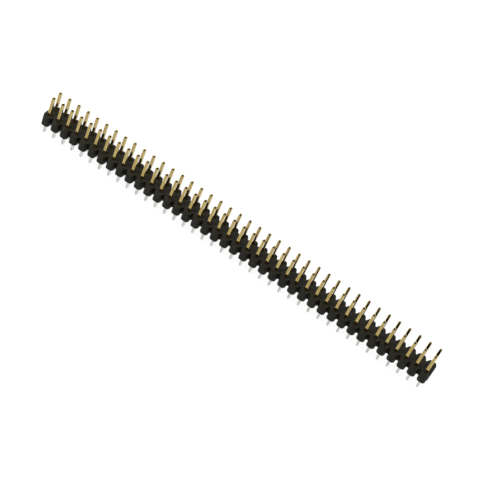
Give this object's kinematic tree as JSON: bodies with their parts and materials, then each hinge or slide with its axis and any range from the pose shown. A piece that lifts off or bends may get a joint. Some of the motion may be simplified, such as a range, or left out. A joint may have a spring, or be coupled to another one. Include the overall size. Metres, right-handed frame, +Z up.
{
  "type": "pin header connector",
  "caption": "Straight double-row male pin header: black break-away insulator with notched cells, square gold posts above and short tin solder tails below.",
  "frame": {"origin": "middle of the insulator's underside, where it sits on the circuit board", "axes": "+X along the rows, +Y from the front row to the rear row, +Z up along the contact posts"},
  "size_m": [0.1014, 0.005, 0.0107],
  "materials": {
    "insulator": "satin moulded black plastic",
    "pins": "drawn square wire, gold plated above the insulator and tin plated on the tails"
  },
  "bodies": {
    "root": {"insulator": "insulator", "pin_pair_01": "pins", "pin_pair_02": "pins", "pin_pair_03": "pins", "pin_pair_04": "pins", "pin_pair_05": "pins", "pin_pair_06": "pins", "pin_pair_07": "pins", "pin_pair_08": "pins", "pin_pair_09": "pins", "pin_pair_10": "pins", "pin_pair_11": "pins", "pin_pair_12": "pins", "pin_pair_13": "pins", "pin_pair_14": "pins", "pin_pair_15": "pins", "pin_pair_16": "pins", "pin_pair_17": "pins", "pin_pair_18": "pins", "pin_pair_19": "pins", "pin_pair_20": "pins", "pin_pair_21": "pins", "pin_pair_22": "pins", "pin_pair_23": "pins", "pin_pair_24": "pins", "pin_pair_25": "pins", "pin_pair_26": "pins", "pin_pair_27": "pins", "pin_pair_28": "pins", "pin_pair_29": "pins", "pin_pair_30": "pins", "pin_pair_31": "pins", "pin_pair_32": "pins", "pin_pair_33": "pins", "pin_pair_34": "pins", "pin_pair_35": "pins", "pin_pair_36": "pins", "pin_pair_37": "pins", "pin_pair_38": "pins", "pin_pair_39": "pins", "pin_pair_40": "pins"}
  },
  "joints": []
}
